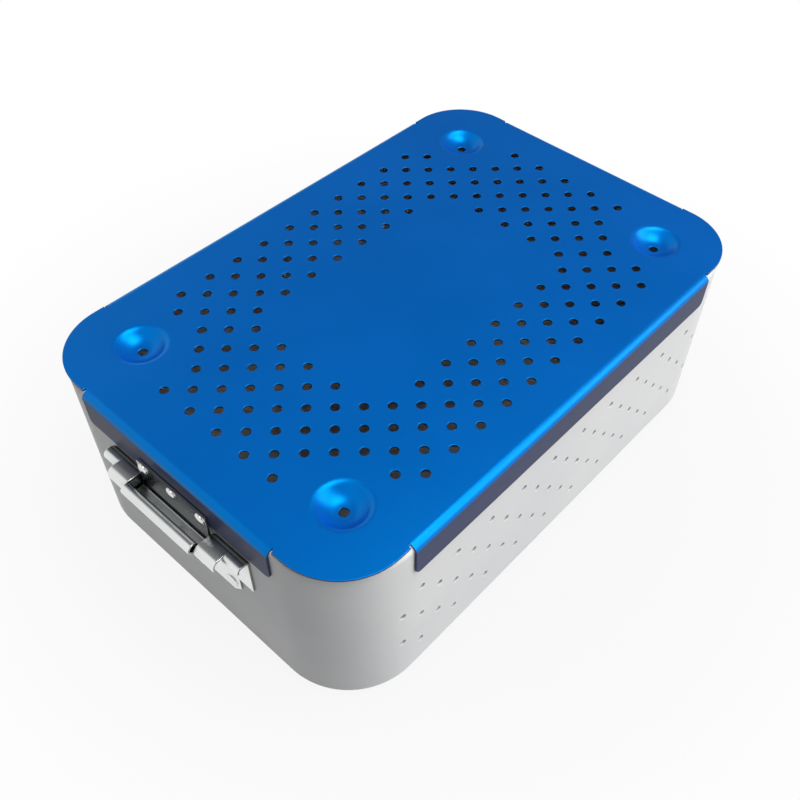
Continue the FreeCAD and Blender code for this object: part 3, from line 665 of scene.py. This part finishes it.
def hood_section(end, lip_edge, foot, lip_bend):
    """Back plate, shelf and lip of the bracket as one bent sheet. Its first side is the foot."""
    wall_centre = (WALL_X + BEND, SHELF_TOP - BEND)
    lip_centre = (end - lip_bend, SHELF_TOP - lip_bend)
    points = [Vector((WALL_X, foot)), Vector((WALL_X + SHEET, foot))]
    points += arc(wall_centre, BEND - SHEET, 180, 90, ARC_STEPS)
    points += arc(lip_centre, lip_bend - SHEET, 90, 0, ARC_STEPS)
    points += [Vector((end - SHEET, lip_edge)), Vector((end, lip_edge))]
    points += arc(lip_centre, lip_bend, 0, 90, ARC_STEPS)
    points += arc(wall_centre, BEND, 90, 180, ARC_STEPS)
    return points


def cheek_loop():
    """Side cheek below the shelf, rounded under the pin and inside the bends of the hood."""
    half = SHEET / 2
    end = BRACKET_HIGH.x
    points = [Vector((WALL_X + half, PIN_Z - CHEEK_RADIUS))]
    points += arc((PIN_X, PIN_Z), CHEEK_RADIUS, 270, 360, ARC_STEPS)
    points.append(Vector((end - half, LIP_EDGE)))
    points += arc((end - LIP_BEND, SHELF_TOP - LIP_BEND), LIP_BEND - half, 0, 90, ARC_STEPS)
    points += arc((WALL_X + BEND, SHELF_TOP - BEND), BEND - half, 90, 180, ARC_STEPS)
    return points


def mirrored(points):
    """A loop drawn for the far side: left and right swapped, still anticlockwise."""
    return [Vector((-point.x, point.y)) for point in points[::-1]]


def side_sheet(surface, y, points, hole):
    """A pair of upright sheets across the latch, their outer faces at y and -y."""
    for sign, loop in ((1, points), (-1, mirrored(points))):
        drilled = [(loop, set())] + round_holes([(PIN_X * sign, PIN_Z)], hole)
        flat_sheet(surface, Plane((0, -y * sign, 0), (sign, 0, 0), UP), drilled)


def build_bracket(side):
    """Plate below the window, the hood and tab at each end of it, and the cheeks for the pin."""
    surface = Surface()
    foot = BRACKET_LOW.z
    half = [Vector((SHELF_HALF - PLATE_CUT, foot)), Vector((SHELF_HALF, foot + PLATE_CUT)),
            Vector((SHELF_HALF, WINDOW_FOOT))]
    plate = half + [Vector((-point.x, point.y)) for point in half[::-1]]
    flat_sheet(surface, Plane((WALL_X + SHEET, 0, 0), (0, 1, 0), UP), [(plate, {2})])
    deep = hood_section(BRACKET_HIGH.x, LIP_EDGE, WINDOW_FOOT, LIP_BEND)
    tab = hood_section(TAB_END, TAB_EDGE, TAB_FOOT, BEND)
    tab_start = SHELF_HALF - EDGE_ROUNDING
    for start, stop, section, open_sides in (
            (WINDOW_HALF, SHELF_HALF, deep, {0}), (tab_start, BRACKET_HIGH.y, tab, set())):
        extruded(surface, section_plane(start), section, stop - start, open_sides)
        extruded(surface, section_plane(-stop), section, stop - start, open_sides)
    side_sheet(surface, WINDOW_HALF + SHEET, cheek_loop(), PIN_HOLE)
    return surface.make(side + "_bent_bracket", LATCH_TURNS[side])


def lever_section():
    """Leaf, web and grip of the lever as one bent sheet, its edge rolled outwards."""
    inner = LEVER_LOW.x
    outer = LEVER_HIGH.x - 2 * GRIP_RADIUS + SHEET
    roll = (LEVER_HIGH.x - GRIP_RADIUS, GRIP_TOP - GRIP_RADIUS)
    leaf_centre = (inner + BEND, WEB_UNDER + BEND)
    grip_centre = (outer - BEND, WEB_UNDER + BEND)
    points = [Vector((inner, LEVER_HIGH.z))]
    points += arc(leaf_centre, BEND, 180, 270, ARC_STEPS)
    points += arc(grip_centre, BEND, 270, 360, ARC_STEPS)
    points += arc(roll, GRIP_RADIUS - SHEET, 180, GRIP_END, ARC_STEPS * 4)
    points += arc(roll, GRIP_RADIUS, GRIP_END, 180, ARC_STEPS * 4)
    points += arc(grip_centre, BEND - SHEET, 0, -90, ARC_STEPS)
    points += arc(leaf_centre, BEND - SHEET, 270, 180, ARC_STEPS)
    points.append(Vector((inner + SHEET, LEVER_HIGH.z)))
    return points


def knuckle_loop():
    """Lever cheek, hung from the web and rounded about the pin."""
    top = WEB_UNDER + SHEET / 2
    points = arc((PIN_X, PIN_Z), KNUCKLE_RADIUS, 180, 360, ARC_STEPS * 2)
    return points + [Vector((PIN_X + KNUCKLE_RADIUS, top)), Vector((PIN_X - KNUCKLE_RADIUS, top))]


def build_lever(side):
    """The bent sheet, and the two cheeks by which it hangs on the pin."""
    surface = Surface()
    half = LEVER_HIGH.y
    extruded(surface, section_plane(-half), lever_section(), 2 * half)
    side_sheet(surface, half, knuckle_loop(), PIN_HOLE)
    return surface.make(side + "_bent_lever", LATCH_TURNS[side])


def domed_head(radius, seat, height):
    """Profile of a low domed head that stands on its seat, from its rim to its middle."""
    angles = [math.radians(90 * step / ARC_STEPS) for step in range(ARC_STEPS + 1)]
    return [(radius * math.cos(angle),
             seat + height * (DOME_EDGE + (1 - DOME_EDGE) * math.sin(angle))) for angle in angles]


def build_rivets(side):
    """Four rivets with a flat head inside the wall and a domed one on the bracket."""
    low, high = node_box("right_bracket_rivets")
    head = (high.z - low.z - (RIVET_LEVELS[0] - RIVET_LEVELS[1])) / 2
    inside = WALL_X - SHEET
    outside = WALL_X + SHEET
    profile = [(0, low.x), (head - EDGE_ROUNDING, low.x), (head, low.x + EDGE_ROUNDING),
               (head, inside), (RIVET_SHANK, inside), (RIVET_SHANK, outside), (head, outside)]
    profile += domed_head(head, outside, high.x - outside)
    surface = Surface()
    for y in (-RIVET_SPREAD, RIVET_SPREAD):
        for z in RIVET_LEVELS:
            turned(surface, (0, y, z), (1, 0, 0), profile)
    return surface.make(side + "_round_rivets", LATCH_TURNS[side])


def build_studs(side):
    """Three studs, riveted through the leaf, whose tips lock in the skirt's holes."""
    tip = STUD_LOW.x
    head = (STUD_HIGH.z - STUD_LOW.z) / 2
    profile = [(0, tip), (STUD_SHANK - EDGE_ROUNDING, tip), (STUD_SHANK, tip + EDGE_ROUNDING),
               (STUD_SHANK, LEAF_OUTER), (head, LEAF_OUTER)]
    profile += domed_head(head, LEAF_OUTER, STUD_HIGH.x - LEAF_OUTER)
    surface = Surface()
    for y in STUD_PLACES:
        turned(surface, (0, y, STUD_LEVEL), (1, 0, 0), profile)
    return surface.make(side + "_round_studs", LATCH_TURNS[side])


def build_pin(side):
    """Hinge pin with a head at each end."""
    head = (PIN_HIGH.z - PIN_LOW.z) / 2
    end = PIN_HIGH.y
    seat = end - PIN_HEAD_HEIGHT
    half = [(PIN_RADIUS, 0), (PIN_RADIUS, seat), (head, seat), (head, end - EDGE_ROUNDING),
            (head - EDGE_ROUNDING, end), (0, end)]
    profile = [(radius, -along) for radius, along in half[::-1]] + half[1:]
    surface = Surface()
    turned(surface, (PIN_X, 0, PIN_Z), (0, 1, 0), profile)
    return surface.make(side + "_turned_pin", LATCH_TURNS[side])


def spring_line():
    """Wall leg, coil about the pin and web leg of the spring."""
    low, high = node_box("right_torsion_spring")
    steps = int(SPRING_TURNS * COIL_STEPS)
    advance = SPRING_PITCH / COIL_STEPS
    first_y = -advance * steps / 2
    points = [Vector((WALL_X + SPRING_SEAT, first_y, low.z + SPRING_WIRE / 2))]
    for step in range(steps + 1):
        angle = math.pi - 2 * math.pi * step / COIL_STEPS
        x = PIN_X + SPRING_RADIUS * math.cos(angle)
        z = PIN_Z + SPRING_RADIUS * math.sin(angle)
        points.append(Vector((x, first_y + advance * step, z)))
    points.append(Vector((high.x - SPRING_WIRE / 2, -first_y, high.z - SPRING_WIRE / 2)))
    return points


def wire(surface, points, radius):
    """A round wire along a line of points, with flat ends."""
    rails = []
    for index, point in enumerate(points):
        along = (points[min(index + 1, len(points) - 1)] - points[max(index - 1, 0)]).normalized()
        first = along.cross(Vector((0, 1, 0))).normalized()
        second = along.cross(first)
        ring = []
        for step in range(WIRE_SIDES + 1):
            angle = 2 * math.pi * step / WIRE_SIDES
            out = first * math.cos(angle) + second * math.sin(angle)
            ring.append((point + out * radius, out))
        rails.append(ring)
    surface.strip(rails)
    for ring, point, neighbour in (
            (rails[0], points[0], points[1]), (rails[-1], points[-1], points[-2])):
        out = (point - neighbour).normalized()
        surface.face([(corner, out) for corner, normal in ring[:-1]])


def build_spring(side):
    """Wall leg and coil, which stay, and the web leg, which swings with the lever.

    The web leg brings enough of the last turn with it to stay joined to the coil. Its wire is a
    little thinner, so that it lies inside the coil's there.
    """
    points = spring_line()
    coil = Surface()
    wire(coil, points[:-1], SPRING_WIRE / 2)
    leg = Surface()
    wire(leg, points[-2 - FOLLOWING_STEPS:], SPRING_LEG_WIRE / 2)
    turn = LATCH_TURNS[side]
    return coil.make(side + "_spring_coil", turn), leg.make(side + "_spring_leg", turn)


# Materials. Scales of noise are per metre, and lengths are in millimetres

CLOUD_SCALE = 14.0
NOISE_DETAIL = 3.0
NOISE_SPREAD = (0.3, 0.7)
GRAIN_DEPTH = 0.02
EVEN_GRAIN = (1, 1, 1)
# Range of the normal's upward part over which the skirts' painted shade and reflection give way to
# the plate's colour and sheen
SKIRT_TO_PLATE = (0.05, 0.45)
ANODISED_IOR = 2.0
# How far the painted shade of polished steel looks for hollows
PAINTED_SHADE_REACH = 12.0


def add_linked(tree, kind, inputs, **settings):
    """A node with some of its inputs linked, given as {number or name: output}."""
    node = tree.nodes.new(kind)
    for name, value in settings.items():
        setattr(node, name, value)
    for socket, output in inputs.items():
        tree.links.new(output, node.inputs[socket])
    return node


def map_range(tree, value, source, target=(0.0, 1.0), interpolation="LINEAR"):
    """A value carried over from one range to another."""
    node = add_linked(tree, "ShaderNodeMapRange", {"Value": value},
                      interpolation_type=interpolation)
    for name, (low, high) in (("From", source), ("To", target)):
        node.inputs[name + " Min"].default_value = low
        node.inputs[name + " Max"].default_value = high
    return node.outputs["Result"]


class Nodes:
    """Short calls for building one node material."""

    def __init__(self, name):
        self.material = bpy.data.materials.new(name)
        self.material.use_nodes = True
        self.tree = self.material.node_tree
        self.shader = self.tree.nodes["Principled BSDF"]
        self.place = self.add("ShaderNodeTexCoord").outputs["Object"]

    def add(self, kind, inputs=(), **settings):
        return add_linked(self.tree, kind, dict(inputs), **settings)

    def link(self, output, name):
        """Links an output to the shader's socket of that name."""
        self.tree.links.new(output, self.shader.inputs[name])

    def stretched(self, scale):
        """Object coordinates scaled per axis."""
        mapping = self.add("ShaderNodeMapping", {"Vector": self.place})
        mapping.inputs["Scale"].default_value = scale
        return mapping.outputs["Vector"]

    def noise(self, vector, scale, detail=NOISE_DETAIL):
        node = self.add("ShaderNodeTexNoise", {"Vector": vector})
        node.inputs["Scale"].default_value = scale
        node.inputs["Detail"].default_value = detail
        return node.outputs["Fac"]

    def ranged(self, noise, levels=(0.0, 1.0)):
        """A noise value spread between two levels."""
        return map_range(self.tree, noise, NOISE_SPREAD, levels)

    def mixed_colour(self, factor, first, second):
        """A mix of two colours, each written out or linked."""
        node = self.add("ShaderNodeMix", {"Factor": factor}, data_type="RGBA")
        sockets = [socket for socket in node.inputs if socket.type == "RGBA"]
        for socket, colour in zip(sockets, (first, second)):
            if isinstance(colour, tuple):
                socket.default_value = (*colour, 1)
            else:
                self.tree.links.new(colour, socket)
        return next(socket for socket in node.outputs if socket.type == "RGBA")

    def bump(self, height, strength):
        """Raises the surface by a noise value."""
        node = self.add("ShaderNodeBump", {"Height": height})
        node.inputs["Strength"].default_value = strength
        node.inputs["Distance"].default_value = GRAIN_DEPTH * MM
        self.link(node.outputs["Normal"], "Normal")


def metal(name, colours, roughness, grain, grain_scale, bump, metallic=1.0, gloss=0.5):
    """A metal with cloudy colour, uneven gloss and a grain stretched as its making leaves it."""
    nodes = Nodes(name)
    cloud = nodes.noise(nodes.place, CLOUD_SCALE)
    nodes.colour = nodes.mixed_colour(nodes.ranged(cloud), *colours)
    nodes.link(nodes.colour, "Base Color")
    fine = nodes.noise(nodes.stretched(grain), grain_scale)
    nodes.link(nodes.ranged(fine, roughness), "Roughness")
    nodes.shader.inputs["Metallic"].default_value = metallic
    nodes.shader.inputs["Specular IOR Level"].default_value = gloss
    nodes.bump(fine, bump)
    return nodes


def anodised(name, plate_colours, skirt_painted_shade, plate_sheen, skirt_painted_grey_sheen):
    """Dyed aluminium with a coloured sheen. The upright skirts get a greyer, darker colour and
    sheen by how they face: painted shade and reflection.
    """
    nodes = metal(name, plate_colours, roughness=(0.32, 0.40), grain=EVEN_GRAIN,
                  grain_scale=2200.0, bump=0.12, metallic=0.40, gloss=0.7)
    # The skirt colour and sheen take over where the surface faces less upward: painted shade and
    # reflection on the uprights
    normal = nodes.add("ShaderNodeTexCoord").outputs["Normal"]
    facing = nodes.add("ShaderNodeSeparateXYZ", {"Vector": normal})
    upward = map_range(nodes.tree, facing.outputs["Z"], SKIRT_TO_PLATE)
    nodes.link(nodes.mixed_colour(upward, skirt_painted_shade, nodes.colour), "Base Color")
    nodes.link(nodes.mixed_colour(upward, skirt_painted_grey_sheen, plate_sheen), "Specular Tint")
    nodes.shader.inputs["IOR"].default_value = ANODISED_IOR
    return nodes.material


def polished(name, colours, roughness, painted_shade_colour):
    """Polished sheet, darkened towards a dark colour in its hollows by ambient occlusion: painted
    shade, standing in for the sheet mirroring only itself there.
    """
    nodes = metal(name, colours, roughness, grain=(6, 1, 6), grain_scale=120.0, bump=0.01)
    # Painted shade: ambient occlusion darkens the colour in hollows
    painted_shade = nodes.add("ShaderNodeAmbientOcclusion")
    painted_shade.inputs["Distance"].default_value = PAINTED_SHADE_REACH * MM
    shaded = nodes.mixed_colour(painted_shade.outputs["AO"], painted_shade_colour, nodes.colour)
    nodes.link(shaded, "Base Color")
    return nodes.material


# The skirt colour and skirt sheen are painted shade and reflection on the lid's uprights
BLUE_ANODISED = anodised(
    "blue_anodised", plate_colours=((0.0, 0.100, 0.50), (0.001, 0.114, 0.56)),
    skirt_painted_shade=(0.048, 0.064, 0.145), plate_sheen=(0.0, 0.85, 1.0),
    skirt_painted_grey_sheen=(0.07, 0.07, 0.10))
NATURAL_ALUMINIUM = metal(
    "natural_aluminium", colours=((0.66, 0.67, 0.68), (0.72, 0.72, 0.72)), roughness=(0.34, 0.44),
    grain=(1, 1, 14), grain_scale=160.0, bump=0.15, metallic=0.0, gloss=0.3).material
# The dark colour given here is painted shade, laid in where ambient occlusion finds hollows
POLISHED_STEEL = polished(
    "polished_steel", colours=((0.70, 0.72, 0.72), (0.80, 0.81, 0.81)), roughness=(0.18, 0.26),
    painted_shade_colour=(0.06, 0.07, 0.07))
FASTENER_STEEL = metal(
    "fastener_steel", colours=((0.70, 0.70, 0.69), (0.78, 0.78, 0.77)), roughness=(0.16, 0.26),
    grain=EVEN_GRAIN, grain_scale=900.0, bump=0.06).material
SPRING_STEEL = metal(
    "spring_steel", colours=((0.48, 0.48, 0.47), (0.58, 0.58, 0.57)), roughness=(0.22, 0.32),
    grain=(1, 8, 1), grain_scale=500.0, bump=0.06).material


def stand_for(piece, body, node, material):
    """Puts a modelled piece, with its material and slot, in the place of a frame node."""
    piece.data.materials.append(material)
    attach(piece, body)
    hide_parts(node)


stand_for(build_lid(), "lid", "lid", BLUE_ANODISED)
stand_for(build_wall(), "base", "base_wall", NATURAL_ALUMINIUM)
stand_for(build_floor(), "base", "base_floor", NATURAL_ALUMINIUM)
for side in LATCH_TURNS:
    stand_for(build_rivets(side), "base", side + "_bracket_rivets",
              FASTENER_STEEL)
    stand_for(build_pin(side), "base", side + "_hinge_pin", FASTENER_STEEL)
    coil, leg = build_spring(side)
    stand_for(coil, "base", side + "_torsion_spring", SPRING_STEEL)
    stand_for(leg, side + "_latch", side + "_torsion_spring", SPRING_STEEL)
    stand_for(build_studs(side), side + "_latch", side + "_lock_studs",
              FASTENER_STEEL)
    stand_for(build_bracket(side), "base", side + "_latch_bracket",
              POLISHED_STEEL)
    stand_for(build_lever(side), side + "_latch", side + "_latch_lever",
              POLISHED_STEEL)


# Floor, lights and camera. Lengths here are in metres

LOOKED_AT = ("Is Camera Ray",)
MIRRORED = ("Is Glossy Ray", "Is Transmission Ray")

# The camera and gloss see white mixed into the floor: less of it near the middle, where the
# shadow falls, and all white beyond. The fade is in metres from the middle
STAGE_HALF = 6.0
STAGE_TONES = ((0.31, 0.31, 0.315), (0.33, 0.33, 0.33))
STAGE_TONE_SCALE = 3.0
STAGE_TONE_DETAIL = 2.0
STAGE_ROUGHNESS = 0.9
STAGE_GLOSS = 0.1
STAGE_FADE = (0.12, 0.34)
STAGE_WHITE = (0.90, 1.0)

# Name, place, width and watts of each square lamp, and what they all face
LAMPS = (("key", (0.7, -1.2, 0.85), 1.3, 18.5), ("overhead", (0.15, -0.35, 1.35), 0.85, 13.0))
LAMP_TARGET = (0, 0, 0.05)

# The direction against which the backdrop's height is measured, and where it fades to the ceiling
BACKDROP_AXIS = (0.70, -0.30, 0.65)
BACKDROP_FADE = (0.14, 0.46)
CEILING_COLOUR = (0.97, 0.98, 1.0, 1)
CEILING_STRENGTH = 0.24

# The camera's place is measured from the middle of the lid's top, and its turns are in degrees
CAMERA_PLACE = Vector((-0.2545, -0.2289, 0.3040))
CAMERA_TURNS = (40.571, -1.108, -47.935)
CAMERA_CLIP = 0.01
FRAME_PIXELS = 800
FOCAL_PIXELS = 927.9
PRINCIPAL_PIXELS = (424.65, 417.17)
SENSOR_WIDTH = 36.0


def combined(tree, operation, first, second):
    """What an operation makes of two values."""
    return add_linked(tree, "ShaderNodeMath", {0: first, 1: second}, operation=operation).outputs[0]


def seen_by(tree, names):
    """One for rays of any of the named kinds."""
    path = tree.nodes.new("ShaderNodeLightPath")
    share = path.outputs[names[0]]
    for name in names[1:]:
        share = combined(tree, "MAXIMUM", share, path.outputs[name])
    return share


def blend_output(tree, share, plain, white, output):
    """Gives the tree's output a mix of the plain shader and the white one's share."""
    mix = add_linked(tree, "ShaderNodeMixShader", {0: share, 1: plain, 2: white})
    tree.links.new(mix.outputs[0], tree.nodes[output].inputs["Surface"])


def build_stage_floor():
    """A plain pale floor, far larger than the view, that keeps the shadow and fades to white."""
    mesh = bpy.data.meshes.new("studio_floor")
    mesh.from_pydata([(x, y, 0) for x, y in quadrants(STAGE_HALF, STAGE_HALF)], [], [(0, 1, 2, 3)])
    floor = show("studio_floor", mesh)
    nodes = Nodes("studio_floor")
    tree = nodes.tree
    cloud = nodes.noise(nodes.place, STAGE_TONE_SCALE, STAGE_TONE_DETAIL)
    nodes.link(nodes.mixed_colour(cloud, *STAGE_TONES), "Base Color")
    nodes.shader.inputs["Roughness"].default_value = STAGE_ROUGHNESS
    nodes.shader.inputs["Specular IOR Level"].default_value = STAGE_GLOSS
    distance = nodes.add("ShaderNodeVectorMath", {0: nodes.place}, operation="LENGTH")
    fade = map_range(tree, distance.outputs["Value"], STAGE_FADE, STAGE_WHITE, "SMOOTHSTEP")
    share = combined(tree, "MULTIPLY", fade, seen_by(tree, LOOKED_AT + MIRRORED))
    white = nodes.add("ShaderNodeEmission")
    blend_output(tree, share, nodes.shader.outputs["BSDF"], white.outputs["Emission"],
                 "Material Output")
    mesh.materials.append(nodes.material)


def soft_light(name, position, width, power):
    """A square lamp that faces the object."""
    lamp = bpy.data.lights.new(name, "AREA")
    lamp.shape = "RECTANGLE"
    lamp.size = lamp.size_y = width
    lamp.energy = power
    made = show(name, lamp)
    made.location = position
    facing = Vector(LAMP_TARGET) - Vector(position)
    made.rotation_euler = facing.to_track_quat("-Z", "Y").to_euler()


def build_world():
    """A plain ceiling and a white backdrop.

    The camera sees the backdrop everywhere. Gloss shows it low and on the left.
    """
    world = bpy.data.worlds.new("studio")
    world.use_nodes = True
    tree = world.node_tree
    ceiling = tree.nodes["Background"]
    ceiling.inputs["Color"].default_value = CEILING_COLOUR
    ceiling.inputs["Strength"].default_value = CEILING_STRENGTH
    backdrop = tree.nodes.new("ShaderNodeBackground")
    backdrop.inputs["Color"].default_value = (1, 1, 1, 1)
    direction = tree.nodes.new("ShaderNodeTexCoord").outputs["Generated"]
    height = add_linked(tree, "ShaderNodeVectorMath", {0: direction}, operation="DOT_PRODUCT")
    height.inputs[1].default_value = BACKDROP_AXIS
    low = map_range(tree, height.outputs["Value"], BACKDROP_FADE, (1.0, 0.0), "SMOOTHSTEP")
    in_gloss = combined(tree, "MULTIPLY", low, seen_by(tree, MIRRORED))
    share = combined(tree, "MAXIMUM", in_gloss, seen_by(tree, LOOKED_AT))
    blend_output(tree, share, ceiling.outputs[0], backdrop.outputs[0], "World Output")
    bpy.context.scene.world = world


def build_camera():
    """The photograph's viewpoint, worked out from the lid's lattice of holes."""
    camera = bpy.data.cameras.new("camera")
    camera.sensor_width = SENSOR_WIDTH
    camera.lens = FOCAL_PIXELS / FRAME_PIXELS * SENSOR_WIDTH
    camera.shift_x = 0.5 - PRINCIPAL_PIXELS[0] / FRAME_PIXELS
    camera.shift_y = PRINCIPAL_PIXELS[1] / FRAME_PIXELS - 0.5
    camera.clip_start = CAMERA_CLIP
    made = show("camera", camera)
    made.location = CAMERA_PLACE + UP * LID_TOP * MM
    made.rotation_euler = Euler([math.radians(turn) for turn in CAMERA_TURNS])
    bpy.context.scene.camera = made


build_stage_floor()
for lamp_settings in LAMPS:
    soft_light(*lamp_settings)
build_world()
build_camera()
bpy.context.scene.view_settings.view_transform = "Standard"
